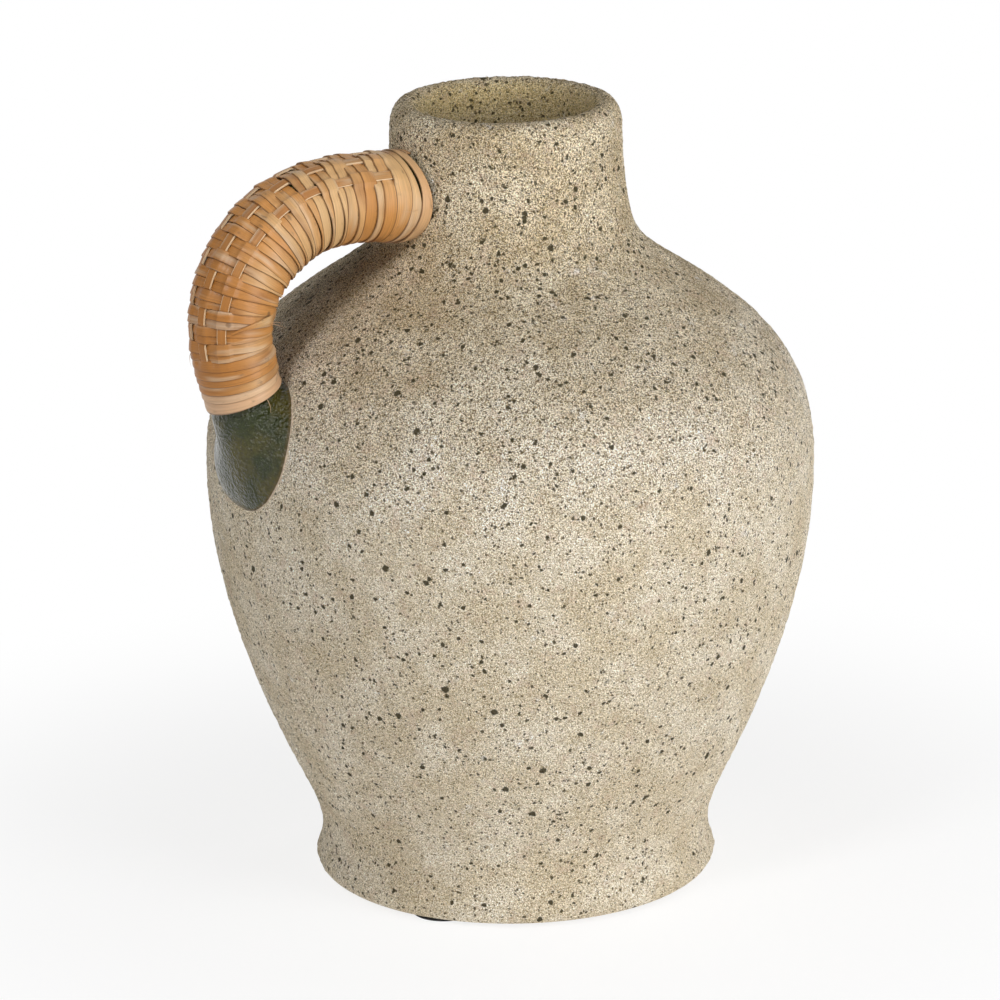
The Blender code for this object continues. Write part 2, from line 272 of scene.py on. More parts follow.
# %% A springy batten
STATIONS = np.array((
    (0.0060, 0.0690), (0.0090, 0.0678), (0.0396, 0.0747), (0.0822, 0.0922), (0.1464, 0.1034),
    (0.1895, 0.0881), (0.2067, 0.0673), (0.2223, 0.0463), (0.2328, 0.0416), (0.2635, 0.0389),
))


def batten(x, y):
    """Natural cubic curve through points, as a function that gives values and slopes."""
    x, y = np.asarray(x, float), np.asarray(y, float)
    n, h = len(x), np.diff(x)
    a, b = np.eye(n), np.zeros(n)
    for i in range(1, n - 1):
        a[i, i - 1:i + 2] = h[i - 1], 2.0 * (h[i - 1] + h[i]), h[i]
        b[i] = 3.0 * ((y[i + 1] - y[i]) / h[i] - (y[i] - y[i - 1]) / h[i - 1])
    c = np.linalg.solve(a, b)

    def value(t):
        t = np.clip(t, x[0], x[-1])
        i = np.clip(np.searchsorted(x, t) - 1, 0, n - 2)
        u = t - x[i]
        d = (c[i + 1] - c[i]) / (3.0 * h[i])
        m = (y[i + 1] - y[i]) / h[i] - h[i] * (2.0 * c[i] + c[i + 1]) / 3.0
        return y[i] + u * (m + u * (c[i] + u * d)), m + u * (2.0 * c[i] + 3.0 * u * d)

    return value


outside = batten(STATIONS[:, 0], STATIONS[:, 1])
print("belly across, mm:", round(2000.0 * float(outside(STATIONS[4, 0])[0]), 1))

# %% [markdown]
# The wall shows only at the lip, where it is ten millimetres thick. Thrown walls grow a little thinner
# over the belly, so the inside is the outside moved in by the wall, square to the surface.

# %% The wall
NECK_WALL = 0.0104
BELLY_WALL = 0.0090
THICKENS_FROM, THICKENS_TO = 0.1895, 0.2328

neck_z, neck_radius = STATIONS[-1]
heights = np.linspace(STATIONS[0, 0], neck_z, 400)
radii, slopes = outside(heights)
upward = np.clip((heights - THICKENS_FROM) / (THICKENS_TO - THICKENS_FROM), 0.0, 1.0)
wall = BELLY_WALL + (NECK_WALL - BELLY_WALL) * upward
inner_radii = radii - wall * np.sqrt(1.0 + slopes * slopes)
print("mouth across, mm:", round(2000.0 * (neck_radius - NECK_WALL), 1))

# %% [markdown]
# ## Turning the body
#
# The half section goes from the middle of the underside, round the foot, up the outside, over the lip
# and down the inside to the floor. The outside gets the closest rings, because the sandy surface is
# made in the mesh there. Deep inside, where nobody looks, the rings are far apart.

# %% Half section
UNDERSIDE_Z = 0.0010
RECESS_DEPTH = 0.0007
RECESS_RADIUS = 0.0437
FOOT_EDGE = 0.0039
LIP_CREST = 0.0075
FLOOR_THICKNESS = 0.0110
FLOOR_CORNER = 0.0120
MOUTH_BOTTOM = 0.2220
FOOT_SPACING, OUTSIDE_SPACING, LIP_SPACING = 0.0013, 0.0015, 0.0016
MOUTH_SPACING, DEEP_SPACING = 0.0022, 0.0070


def evenly(points, spacing):
    """The same line with points an even distance apart."""
    points = np.asarray(points, float)
    run = np.concatenate(((0.0,), np.cumsum(np.hypot(*np.diff(points, axis=0).T))))
    count = max(int(round(run[-1] / spacing)), 1)
    wanted = np.linspace(0.0, run[-1], count + 1)
    return [tuple(np.interp(wanted, run, points[:, k])[i] for k in range(2)) for i in range(count + 1)]


edge_turn = np.linspace(0.0, math.pi / 2.0, 8)
foot_edge = np.column_stack((
    STATIONS[0, 1] - FOOT_EDGE * (1.0 - np.sin(edge_turn)),
    UNDERSIDE_Z + (STATIONS[0, 0] - UNDERSIDE_Z) * (1.0 - np.cos(edge_turn)),
))
lip_turn = np.linspace(0.0, math.pi, 40)
lip = np.column_stack((
    neck_radius - NECK_WALL / 2.0 + NECK_WALL / 2.0 * np.cos(lip_turn),
    neck_z + LIP_CREST * np.sin(lip_turn),
))
floor_z = UNDERSIDE_Z + FLOOR_THICKNESS
inside = [(r, z) for r, z in zip(inner_radii[::-1], heights[::-1]) if z > floor_z + FLOOR_CORNER]
corner_turn = np.linspace(0.0, math.pi / 2.0, 6)[1:]
corner = [
    (inside[-1][0] - FLOOR_CORNER * (1.0 - math.cos(a)), floor_z + FLOOR_CORNER * (1.0 - math.sin(a)))
    for a in corner_turn
]
mouth = [p for p in inside if p[1] > MOUTH_BOTTOM]
deep = [p for p in inside if p[1] <= MOUTH_BOTTOM] + corner

section = [(0.0, UNDERSIDE_Z + RECESS_DEPTH), (RECESS_RADIUS - RECESS_DEPTH, UNDERSIDE_Z + RECESS_DEPTH)]
section += [(RECESS_RADIUS, UNDERSIDE_Z)]
section += evenly([foot_edge[0]] + list(foot_edge), FOOT_SPACING)
section += evenly(np.column_stack((radii, heights)), OUTSIDE_SPACING)[1:]
section += evenly(lip, LIP_SPACING)[1:]
section += evenly(mouth, MOUTH_SPACING)[1:]
section += evenly(deep, DEEP_SPACING)
section += [(0.0, floor_z)]
print("rings in the section:", len(section))

# %% [markdown]
# A finished piece is an object whose place is in its mesh, so the object itself stays at the origin.
# These two helpers make one, from a bmesh or from a mesh, with smooth shading and its finish.

# %% Finished pieces
def new_piece(name, bm, finish, sharp=None):
    """Turn a bmesh into an object at the origin, ready to ride."""
    mesh = bpy.data.meshes.new(name)
    bm.to_mesh(mesh)
    bm.free()
    return piece_of(name, mesh, finish, sharp)


def piece_of(name, mesh, finish, sharp=None):
    """The same from a mesh. Edges that turn by more than sharp degrees stay sharp."""
    mesh.shade_smooth()
    if sharp is not None:
        mesh.set_sharp_from_angle(angle=math.radians(sharp))
    mesh.materials.append(finish.material)
    obj = bpy.data.objects.new(name, mesh)
    bpy.context.scene.collection.objects.link(obj)
    print(name, "faces:", len(mesh.polygons))
    return obj


# %% [markdown]
# A lathe is a full spin of the section. The spin operator slows down as the mesh grows, so a tenth of
# the circle is spun, copied round nine times and merged, which gives the same closed shell in a
# fraction of the time.

# %% Spin the body
TURNED_STEPS = 330
TURNED_PARTS = 10
MERGE_DISTANCE = 0.000001

body_bm = bmesh.new()
profile = [body_bm.verts.new((r, 0.0, z)) for r, z in section]
line = [body_bm.edges.new(pair) for pair in zip(profile, profile[1:])]
bmesh.ops.spin(
    body_bm,
    geom=profile + line,
    axis=(0.0, 0.0, 1.0),
    cent=(0.0, 0.0, 0.0),
    angle=2.0 * math.pi / TURNED_PARTS,
    steps=TURNED_STEPS // TURNED_PARTS,
    use_merge=False,
)
wedge = list(body_bm.verts) + list(body_bm.edges) + list(body_bm.faces)
for number in range(1, TURNED_PARTS):
    copied = bmesh.ops.duplicate(body_bm, geom=wedge)["geom"]
    bmesh.ops.rotate(
        body_bm,
        verts=[item for item in copied if isinstance(item, bmesh.types.BMVert)],
        cent=(0.0, 0.0, 0.0),
        matrix=Matrix.Rotation(2.0 * math.pi * number / TURNED_PARTS, 3, "Z"),
    )
bmesh.ops.remove_doubles(body_bm, verts=body_bm.verts, dist=MERGE_DISTANCE)
bmesh.ops.recalc_face_normals(body_bm, faces=body_bm.faces)
print("vertices of the body:", len(body_bm.verts))

# %% [markdown]
# ## Grit in the clay
#
# Coarse sand in the clay leaves the surface rough to the touch, and the edge of the pot looks nibbled.
# Bump shading alone can't do that, because it leaves the outline smooth. So each vertex moves a little
# along its normal: a random push for single grains, and two sizes of noise for lumps.

# %% Push the grit out
GRAIN_PUSH = 0.00019
LUMP_PUSH = 0.00020
SMALL_LUMPS, LARGE_LUMPS = 420.0, 160.0
SMOOTH_UNDER = UNDERSIDE_Z + 0.0015

sand = random.Random(7)
body_bm.normal_update()
pushes = []
for vert in body_bm.verts:
    rough = 1.0 if vert.co.z > SMOOTH_UNDER else 0.0
    lumps = noise.noise(vert.co * SMALL_LUMPS) + 0.6 * noise.noise(vert.co * LARGE_LUMPS)
    pushes.append(rough * (GRAIN_PUSH * sand.uniform(-1.0, 1.0) + LUMP_PUSH * lumps))
for vert, push in zip(body_bm.verts, pushes):
    vert.co += vert.normal * push
print("largest push, mm:", round(1000.0 * max(pushes), 3))

# %% [markdown]
# ## Speckled stoneware
#
# The clay is a warm beige that changes slowly from olive at the neck to cream lower down, with chalky
# patches. Inside the mouth it is painted honey brown, darker with depth, as painted shade. A photograph
# could be painted on, but it would show its seams and its own light. Noise in space has neither, and it
# turns the corner of the lip as real clay does, so the colours are sums of noise and of the height.

# %% Clay colours
CREAM_CLAY = ((0.655, 0.538, 0.350), (0.775, 0.672, 0.492))
OLIVE_CLAY = ((0.500, 0.380, 0.205), (0.665, 0.545, 0.344))
# The honey brown inside the mouth is painted shade.
MOUTH_SHADE_HONEY = (0.700, 0.530, 0.235)
CHALK = (0.760, 0.720, 0.640)

stoneware = Finish("speckled_stoneware")
clay_place = stoneware.place()
height = stoneware.parts(clay_place)[2]
drift = stoneware.cloud(clay_place, 14.0, 3.0)
patches = stoneware.cloud(clay_place, 55.0, 4.0, 0.60)
fine = stoneware.cloud(clay_place, 380.0, 4.0, 0.70)
upper = (height + 0.07 * (drift - 0.5)).step(0.155, 0.225)
sandier = (height + 0.05 * (drift - 0.5)).step(0.162, 0.204)
cream = stoneware.colours(patches.step(0.34, 0.68), *CREAM_CLAY)
olive = stoneware.colours(patches.step(0.34, 0.68), *OLIVE_CLAY)
clay = stoneware.colours(upper, cream, olive)
clay = stoneware.tinted(clay, 1.02 + 0.10 * height.step(0.218, 0.245))
level_place = stoneware.vectors("MULTIPLY", clay_place, (1.0, 1.0, 0.0))
reach = stoneware.vectors("LENGTH", level_place, output="Value")
# Inside the mouth the clay is painted honey brown and painted darker with depth: painted shade.
throat = (1.0 - reach.step(0.0285, 0.0335)) * (height - 0.2).step(0.0, 0.02)
painted_mouth_shade = stoneware.tinted(MOUTH_SHADE_HONEY, 0.24 + 0.76 * height.step(0.245, 0.266))
clay = stoneware.colours(throat * 0.85, clay, painted_mouth_shade)
sandier = sandier * (1.0 - 0.5 * throat)
chalk = stoneware.cloud(stoneware.vectors("ADD", clay_place, (0.3, 0.1, 0.7)), 120.0, 4.0, 0.7)
clay = stoneware.colours(chalk.step(0.60, 0.74) * 0.45, clay, CHALK)
print("clay colours ready")

# %% [markdown]
# The clay is full of sand, in grains a quarter to half a millimetre across. A grain is one cell of a
# fine cell texture, with a random tone. Green and blue follow the tone more strongly than red, so dark
# grains are brown and bright ones pale. A soft noise adds rosy patches, and a few grains are white.

# %% Sand grains
ROSY_CLAY = (0.610, 0.420, 0.290)
WHITE_SAND = (0.800, 0.780, 0.720)

large_grain = stoneware.parts(stoneware.cells(clay_place, 1800.0, "Color"))
small_grain = stoneware.parts(stoneware.cells(clay_place, 4200.0, "Color"))
contrast = (0.50 + 0.42 * height.step(0.135, 0.195)) * (1.0 - 0.45 * throat)
grain_tone = 0.14 * large_grain[0] + 2.90 * small_grain[0] + 0.24 * fine - 1.64
clay = stoneware.tinted(clay, (1.04 + contrast * grain_tone).most(0.18).least(1.85), 1.16, 1.55)
blush = stoneware.cloud(stoneware.vectors("ADD", clay_place, (0.6, 0.2, 0.1)), 170.0, 3.0, 0.6)
clay = stoneware.colours(blush.step(0.54, 0.72) * 0.34, clay, ROSY_CLAY)
clay = stoneware.colours(small_grain[1].step(0.86, 0.93) * 0.45, clay, WHITE_SAND)
print("sand ready")

# %% [markdown]
# Flecks of iron melt to near black, from pinpricks to almost three millimetres, and tiny pits lie
# between the grains. Both are cell textures again: a lottery picks which cells have a fleck and how
# large it is, and a wobbled coordinate makes it ragged. The shoulder and the neck are sandier than the
# belly and have more of them. The texture fills space, and the pot shows only the flecks that its
# surface happens to cut, which is why the shares below look large.

# %% Iron flecks
# Cells per metre, the share that has a fleck, the share added where sandier, smallest and largest size.
IRON_SIZES = (
    (120.0, 0.50, 0.10, 0.080, 0.165),
    (175.0, 0.00, 0.60, 0.110, 0.210),
    (260.0, 0.50, 0.40, 0.140, 0.250),
    (440.0, 0.62, 0.38, 0.160, 0.290),
)
PAINTED_PIT_SHADE = (0.095, 0.068, 0.026)
SMALL_IRON = (0.068, 0.052, 0.021)
IRON = (0.050, 0.040, 0.016)


def flecks(place, scale, share, small, large):
    """A mask of flecks: share is how many cells have one, small to large their radius in cells."""
    distance = stoneware.cells(place, scale)
    lottery = stoneware.parts(stoneware.cells(place, scale, "Color"))
    radius = small + (large - small) * lottery[1] ** 2.0
    has_one = (lottery[0] + share - 1.0).step(0.0, 0.001)
    return has_one * (1.0 - (distance / radius).step(0.80, 1.10))


wobble = stoneware.cloud(clay_place, 620.0, 3.0, 0.6, "Color")
ragged = stoneware.stretched(wobble, (0.0019, 0.0019, 0.0019), clay_place)
crowding = 0.40 + 1.2 * stoneware.cloud(clay_place, 55.0, 2.0)
large_flecks, shoulder_flecks, middle_flecks, small_flecks = (
    flecks(ragged, scale, (share + more * sandier) * crowding, small, large)
    for scale, share, more, small, large in IRON_SIZES
)
pits = flecks(clay_place, 700.0, 0.34 + 0.26 * sandier, 0.19, 0.33)
iron = large_flecks.most(middle_flecks).most(shoulder_flecks)
# The pits are painted dark brown, as painted shade in them.
clay = stoneware.colours(pits * (0.90 - 0.26 * sandier), clay, PAINTED_PIT_SHADE)
clay = stoneware.colours(small_flecks * 0.90, clay, SMALL_IRON)
clay = stoneware.colours(iron * 0.95, clay, IRON)
print("flecks ready")

# %% [markdown]
# Fired clay without glaze is matte, with hardly any shine. The grit in its bump is a little coarser than
# the grains, and the pits are pressed in. Now the body has its finish and becomes a piece.

# %% The stoneware body
stoneware.set(Base_Color=clay, Roughness=0.92, Specular_IOR_Level=0.25)
grit = stoneware.cells(clay_place, 1350.0)
coarse = stoneware.cloud(clay_place, 1400.0, 3.0, 0.75)
stoneware.bump(coarse + 0.65 * grit - 0.5 * pits, 0.00080, 1.0)

vase_body = new_piece("stoneware_body", body_bm, stoneware)

# %% [markdown]
# ## The line of the grip
#
# The clay loop and everything wound on it follow one line in the XZ plane, from the neck out and down
# to the shoulder. Eight points measured on the photograph pin it, and five pin how thick the wound grip
# is. `grip_point` turns three simple numbers into a place: how far along the grip, at what angle round
# it and how far off the line. Angle 0 is the loop's outer side, and negative angles face the camera.
# So every strip can be described as it is made, by winding, and never by coordinates.

# %% Grip line
GRIP_REACH = np.array((39.92, 61.37, 80.10, 95.23, 104.99, 107.16, 104.12, 102.96)) / 1000.0
GRIP_HEIGHT = np.array((243.73, 245.53, 243.68, 234.56, 220.24, 204.01, 188.75, 185.01)) / 1000.0
GRIP_ENVELOPE = np.array((15.52, 14.90, 15.20, 14.05, 12.85)) / 1000.0

knots = np.linspace(0.0, 1.0, 8)
fine_u = np.linspace(0.0, 1.0, 1201)
reach_u, height_u = batten(knots, GRIP_REACH)(fine_u)[0], batten(knots, GRIP_HEIGHT)(fine_u)[0]
run_u = np.concatenate(((0.0,), np.cumsum(np.hypot(np.diff(reach_u), np.diff(height_u)))))
GRIP_LENGTH = float(run_u[-1])
grip_s = np.linspace(0.0, GRIP_LENGTH, 600)
grip_reach, grip_height = np.interp(grip_s, run_u, reach_u), np.interp(grip_s, run_u, height_u)
grip_tangent = np.unwrap(np.arctan2(np.gradient(grip_height), np.gradient(grip_reach)))
grip_curl = -np.gradient(grip_tangent, grip_s)
envelope = batten(np.linspace(0.0, GRIP_LENGTH, 5), GRIP_ENVELOPE)


def grip_point(s, angle, out):
    """Places at a run s along the grip, an angle round it and a distance off it. Takes arrays."""
    inside_s = np.clip(s, 0.0, GRIP_LENGTH)
    turn = np.interp(inside_s, grip_s, grip_tangent)
    beyond = s - inside_s
    reach = np.interp(inside_s, grip_s, grip_reach) + beyond * np.cos(turn)
    height = np.interp(inside_s, grip_s, grip_height) + beyond * np.sin(turn)
    reach = reach - out * np.cos(angle) * np.sin(turn)
    height = height + out * np.cos(angle) * np.cos(turn)
    return np.stack((-reach, out * np.sin(angle), height), axis=-1)


print("grip length, mm:", round(1000.0 * GRIP_LENGTH, 1))

# %% [markdown]
# ## A straight bar that is bent afterwards
#
# Strips, stakes and the clay loop are all long things of one section. A curve with a bevel could make
# them, but a strip here changes its width and its lean all the time. So each is made as a straight bar
# along X: a flat grid is rolled up until its long sides meet, the seam is merged and the ends are
# filled. Only then is the bar bent into place, so its own length and width are still known, and are
# kept in its UV map for the material to follow.

# %% Straight bars
def straight_bar(name, ring, length, steps):
    """A mesh along X with the ring's (across, up) points as its section, and both ends closed."""
    bm = bmesh.new()
    bmesh.ops.create_grid(bm, x_segments=steps, y_segments=len(ring), size=0.5)
    for vert in bm.verts:
        across, up = ring[int(round((vert.co.y + 0.5) * len(ring))) % len(ring)]
        vert.co = ((vert.co.x + 0.5) * length, across, up)
    bmesh.ops.remove_doubles(bm, verts=bm.verts, dist=MERGE_DISTANCE)
    open_edges = [edge for edge in bm.edges if edge.is_boundary]
    bmesh.ops.holes_fill(bm, edges=open_edges, sides=0)
    bmesh.ops.recalc_face_normals(bm, faces=bm.faces)
    mesh = bpy.data.meshes.new(name)
    bm.to_mesh(mesh)
    bm.free()
    return mesh


def bend_mesh(mesh, bend, uv_scale=(1.0, 1.0), uv_start=0.0):
    """Keep each point's place on the straight bar as its UV, then move it with bend(x, y, z)."""
    flat = np.empty(len(mesh.vertices) * 3)
    mesh.vertices.foreach_get("co", flat)
    flat = flat.reshape(-1, 3)
    corners = np.empty(len(mesh.loops), dtype=np.int64)
    mesh.loops.foreach_get("vertex_index", corners)
    uv = (flat[corners][:, :2] + np.array((uv_start, 0.0))) * np.array(uv_scale)
    layer = mesh.uv_layers.new(name="along")
    layer.uv.foreach_set("vector", uv.astype(np.float32).ravel())
    mesh.vertices.foreach_set("co", bend(flat[:, 0], flat[:, 1], flat[:, 2]).astype(np.float32).ravel())
    mesh.update()


print("bars ready")

# %% [markdown]
# ## The clay loop
#
# The loop is a round bar of clay, thinner towards the shoulder, that ends in a broad tongue pressed
# onto the body. The tongue's edge is an oval drawn on the body's surface. An ellipse has a fullness of
# 2, and here the upper part and, more so, the lower part on the far side are fuller than that.

# %% The tongue's outline
TONGUE_MIDDLE = 0.1680
TONGUE_BELOW, TONGUE_ABOVE = 0.0233, 0.0209
TONGUE_HALF_WIDTH = 0.0213
TONGUE_SHIFT = 0.0002
TONGUE_REACH = 0.1018
FULL_BELOW, FULL_ABOVE, FULL_FAR = 1.9, 2.3, 2.9


def on_body(height, sideways, lift):
    """Places on the body's surface below the handle, lifted off it along its normal."""
    radius, slope = outside(height)
    tilt = np.hypot(1.0, slope)
    reach, rise = radius + lift / tilt, height - lift * slope / tilt
    around = sideways / TONGUE_REACH
    return np.stack((-reach * np.cos(around), reach * np.sin(around), rise), axis=-1)


def oval(angle, share, lift):
    """A ring of the tongue's oval, from its middle at share 0 to its edge at share 1."""
    down, aside = np.cos(angle), np.sin(angle)
    length = np.where(down > 0.0, TONGUE_BELOW, TONGUE_ABOVE)
    fullness = 2.0 / np.where(down > 0.0, np.where(aside > 0.0, FULL_FAR, FULL_BELOW), FULL_ABOVE)
    height = TONGUE_MIDDLE - share * length * np.sign(down) * np.abs(down) ** fullness
    sideways = share * TONGUE_HALF_WIDTH * np.sign(aside) * np.abs(aside) ** fullness
    return on_body(height, sideways + TONGUE_SHIFT, lift)


print("tongue, mm:", 2000.0 * TONGUE_HALF_WIDTH, "by", 1000.0 * (TONGUE_BELOW + TONGUE_ABOVE))

# %% [markdown]
# The spread foot could be a second piece, but the real one is the same clay, drawn out. So the bar goes
# on past the grip, and each of its lines swings over to its own point of the oval on a Bezier curve:
# first it runs on down the grip, and at the end it comes in over the edge. The outer lines are long,
# and the inner ones, beside the shoulder, are short. The mesh also keeps how near the rim each point
# is, for the glaze.

# %% Bend the clay loop
CORE_SIDES = 56
CORE_STEPS = 170
CORE_RADII = (0.0134, 0.0128, 0.0112)
START_INSIDE = 0.014
FLARE = 0.044
TONGUE_ANGLE = math.radians(76.5)
SWELL, SWELL_OVER = 0.0013, 0.0025
LEAD_INNER, LEAD_OUTER = 0.0015, 0.0175
SHARE_BEFORE_EDGE = 0.86
BULGE, BULGE_OUTER, BULGE_FAR = 0.0012, 0.0030, 0.0043
EDGE_SINK = 0.0004
RIM_FROM, RIM_WIDTH = 0.0004, 0.0030

core_radius = batten((0.0, GRIP_LENGTH / 2.0, GRIP_LENGTH), CORE_RADII)


def smooth(t):
    """A smooth rise from 0 to 1 as t does."""
    t = np.clip(t, 0.0, 1.0)
    return t * t * (3.0 - 2.0 * t)


def bend_loop(x, y, z):
    """From the straight bar to the loop: round the grip, then over to the oval."""
    s = x - START_INSIDE
    angle = np.arctan2(y, z)
    outer = 0.5 + 0.5 * np.cos(angle)
    t = np.clip((s - GRIP_LENGTH) / FLARE, 0.0, 1.0)[:, None]
    swell = SWELL * smooth((s - GRIP_LENGTH) / SWELL_OVER) * (1.0 - t[:, 0]) ** 2
    radius = np.hypot(y, z) * (core_radius(s)[0] + swell)
    bar = grip_point(np.clip(s, None, GRIP_LENGTH), angle, radius)
    down = np.array((math.cos(TONGUE_ANGLE), 0.0, -math.sin(TONGUE_ANGLE)))
    second = bar + down * (LEAD_INNER + LEAD_OUTER * outer)[:, None]
    far_side = np.clip(np.sin(angle), 0.0, 1.0)
    lift = BULGE + BULGE_OUTER * smooth(2.0 * outer) + BULGE_FAR * far_side
    third = oval(angle, SHARE_BEFORE_EDGE, lift)
    edge = oval(angle, 1.0, -EDGE_SINK)
    late = 1.0 - t
    return late ** 3 * bar + 3.0 * late ** 2 * t * second + 3.0 * late * t ** 2 * third + t ** 3 * edge


circle = [2.0 * math.pi * k / CORE_SIDES for k in range(CORE_SIDES)]
loop_ring = [(math.sin(a), math.cos(a)) for a in circle]
loop_mesh = straight_bar("clay_loop", loop_ring, START_INSIDE + GRIP_LENGTH + FLARE, CORE_STEPS)
straight = np.array([vert.co for vert in loop_mesh.vertices]).T
edge_points = oval(np.arctan2(straight[1], straight[2]), 1.0, -EDGE_SINK)
to_edge = np.linalg.norm(bend_loop(*straight) - edge_points, axis=1)
rim_layer = loop_mesh.attributes.new("rim", "FLOAT", "POINT")
rim_layer.data.foreach_set("value", (1.0 - smooth((to_edge - RIM_FROM) / RIM_WIDTH)).astype(np.float32))
bend_mesh(loop_mesh, bend_loop)
print("clay loop vertices:", len(loop_mesh.vertices))

# %% [markdown]
# ## Dark green glaze
#
# The glaze is a deep bottle green, browner where it is thin. It is glossy, but the sand under it shows
# as small bumps, which break the reflections into glints. Where the tongue meets the body, the glaze
# thins to amber and ends in a fine line of bare clay. A second piece could make that line, but the
# attribute that the mesh carries puts it exactly on the rim, wherever the rim goes.

# %% Glaze finish
GREEN_GLAZE, BROWN_GLAZE = (0.028, 0.036, 0.007), (0.068, 0.059, 0.009)
AMBER_GLAZE = (0.110, 0.070, 0.018)
BARE_CLAY = (0.660, 0.520, 0.390)

glaze = Finish("dark_green_glaze")
glaze_place = glaze.place()
pool = glaze.cloud(glaze_place, 90.0, 3.0, 0.55)
freckle = glaze.cloud(glaze_place, 700.0, 3.0, 0.6)
green = glaze.colours(pool.step(0.38, 0.66), GREEN_GLAZE, BROWN_GLAZE)
green = glaze.tinted(green, 0.35 + 1.3 * freckle)
rim = glaze.node("ShaderNodeAttribute", {"attribute_name": "rim"}, None, "Fac")
uneven_rim = rim + 0.35 * (pool - 0.5)
green = glaze.colours(uneven_rim.step(0.25, 0.75) * 0.6, green, AMBER_GLAZE)
bare = uneven_rim.step(0.86, 0.94)
green = glaze.colours(bare, green, glaze.tinted(BARE_CLAY, 0.7 + 0.6 * freckle))
glaze.set(Base_Color=green, Roughness=0.10 + 0.7 * bare, Specular_IOR_Level=0.32)
pimples = glaze.cloud(glaze_place, 660.0, 2.0, 0.5)
glaze.bump(pimples + 0.35 * glaze.cells(glaze_place, 1000.0), 0.00100, 1.0)

clay_loop = piece_of("clay_loop", loop_mesh, glaze)

# %% [markdown]
# ## Winding the rattan
#
# The winding is a flat strip, about 3.2 mm wide, wound 42 times round the clay. On the outer side of
# the bend the turns lie side by side, and on the inner side, where there is less room, each turn laps
# over the next like a shingle. The first turns and the last ones go straight round. Between them the
# strip weaves two turns over and two turns under each of the four stakes.
#
# A woven look could be a bump map, but it shows at the outline and in every shadow, so the strips are
# real. Hand winding isn't even, so a table gives the run along the grip that the turns have reached,
# read from the photograph row by row. Stakes and strips share one rule for who is on top.

# %% Weave pattern
PLAIN_UPPER = 4
ROWS = 16
STRIP_WIDTH = 0.0032
STRIP_THICK = 0.00056
STAKE_THICK = 0.00080
STAKE_WIDTH = 0.0031
STAKE_ANGLES = np.radians((-49.5, -16.5, 16.5, 49.5))
RAMP = 0.0016
PRESSED = 0.00035
STAKES_FROM, STAKES_TO = 0.0085, 0.0975
RISE_OVER, FALL_OVER = 0.004, 0.003
# Room for strips that lap, in strip thicknesses, and the lift beyond the stakes, in stake thicknesses.
LAP_ROOM, PLAIN_LIFT = 1.25, 0.85

TURN_MARKS = np.array((0.5, 4.95, 8.95, 12.95, 16.95, 20.95, 24.95, 28.95, 32.95, 36.0, 42.5))
RUN_MARKS = np.array((0.0, 15.3, 29.0, 39.6, 49.2, 58.7, 68.7, 78.4, 87.3, 94.7)) / 1000.0
run_of_turn = batten(TURN_MARKS, np.append(RUN_MARKS, GRIP_LENGTH))
fine_turns = np.linspace(0.5, 42.5, 2000)
fine_runs = run_of_turn(fine_turns)[0]


def seat(s):
    """Distance from the grip's line to the underside of the lowest rattan."""
    return envelope(s)[0] - LAP_ROOM * STRIP_THICK - STAKE_THICK


def passes_under(turn, stake):
    """True where a turn goes under a stake: alternate rows take alternate stakes."""
    row = np.floor((turn - PLAIN_UPPER) / 2.0)
    return (row >= 0) & (row < ROWS) & ((row + stake) % 2 == 0)


def strip_height(turn, angle, s):
    """How far the strip is lifted by the stakes that it crosses, or pressed down by them."""
    lift = np.zeros_like(angle)
    crossed = smooth((s - STAKES_FROM) / RISE_OVER) * smooth((STAKES_TO - s) / FALL_OVER)
    for number, middle in enumerate(STAKE_ANGLES):
        off = np.abs((angle - middle + math.pi) % (2.0 * math.pi) - math.pi) * seat(s)
        hump = 1.0 - smooth((off - STAKE_WIDTH / 2.0) / RAMP)
        lift += hump * np.where(passes_under(turn, number), -PRESSED, STAKE_THICK)
    return crossed * lift + (1.0 - crossed) * PLAIN_LIFT * STAKE_THICK


print("turns from", fine_turns[0], "to", fine_turns[-1], "in rows:", ROWS)

# %% [markdown]
# ## Strips
#
# The strip's section is a flat bar with a crowned skin and soft edges, so a dark groove is left
# between turns. Hand-split cane wanders and varies in width, which a smooth random number along the
# strip gives. At the neck the turns can't stay flat: they follow the saddle where the round neck cuts
# the round grip.

# %% Section, saddle and wandering
START_ANGLE = math.radians(150.0)
SADDLE_SINK, SADDLE_FADES = 0.0004, 0.016

strip_ring = [
    (-1.0, 0.05), (-1.0, 0.66), (-0.95, 0.86), (-0.78, 0.96), (0.0, 1.0),
    (0.78, 0.96), (0.95, 0.86), (1.0, 0.66), (1.0, 0.05),
]
saddle_angles = np.radians(np.arange(-180.0, 181.0, 5.0))
all_start = np.zeros(len(saddle_angles))
ring_points = grip_point(all_start, saddle_angles, all_start + GRIP_ENVELOPE[0])
saddle = np.hypot(ring_points[:, 0], ring_points[:, 1]) - outside(ring_points[:, 2])[0] + SADDLE_SINK


def uneven(turn, seed, per_turn=1.3):
    """A smooth random number along the strip, between -1 and 1, the same each time."""
    table = np.random.default_rng(seed).uniform(-1.0, 1.0, 128)
    t = np.asarray(turn) * per_turn + 4.0
    i = np.floor(t).astype(int)
    return table[i] + (table[i + 1] - table[i]) * smooth(t - i)


def on_saddle(s, angle):
    """Draw the first turns out to the neck's own surface."""
    wrapped = (angle + math.pi) % (2.0 * math.pi) - math.pi
    return s - np.interp(wrapped, saddle_angles, saddle) * (1.0 - smooth(s / SADDLE_FADES))


print("saddle at the neck, mm:", [round(1000.0 * v, 1) for v in saddle[::12]])

# %% [markdown]
# Each point of the straight strip is sent round the grip by its turn. On the inner side of the bend the
# turns lap, so a strip is tilted there, and every second turn is tucked partly under its partner. Where
# the strip is narrow near the neck, a gap shows beside the first ring. The winding is made in two
# lengths that meet at the back of the grip.

